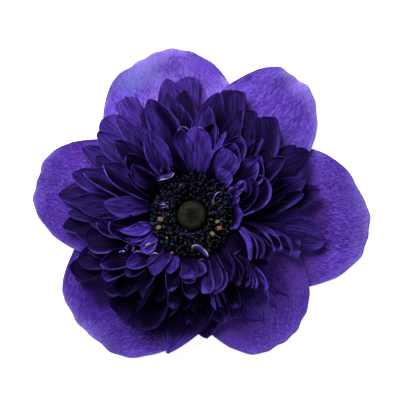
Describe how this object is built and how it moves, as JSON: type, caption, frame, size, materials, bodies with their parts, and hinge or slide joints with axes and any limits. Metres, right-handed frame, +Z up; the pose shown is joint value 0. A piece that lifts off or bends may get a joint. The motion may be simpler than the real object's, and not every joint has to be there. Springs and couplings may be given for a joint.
{
  "type": "anemone flower",
  "caption": "Anemone flower head lying face up, with broad violet outer tepals, layers of narrow dark inner petals, a black ring of stamens and a dome of pistils.",
  "frame": {"origin": "on the surface that the flower lies on, under the middle of its outline as seen from above", "axes": "+Z up, along the flower's own axis, towards the viewer of the picture; +X along the flower's longest way across, to the right in the picture; +Y towards its top"},
  "size_m": [0.0836, 0.0766, 0.02],
  "materials": {
    "stem": "satin",
    "tepal": "satin",
    "petal": "satin",
    "stamen": "matte",
    "pistil": "matte"
  },
  "bodies": {
    "root": {"receptacle": "stem", "tepal_1": "tepal", "tepal_2": "tepal", "tepal_3": "tepal", "tepal_4": "tepal", "tepal_5": "tepal", "tepal_6": "tepal", "inner_petals": "petal", "stamens": "stamen", "pistil_dome": "pistil"}
  },
  "joints": []
}
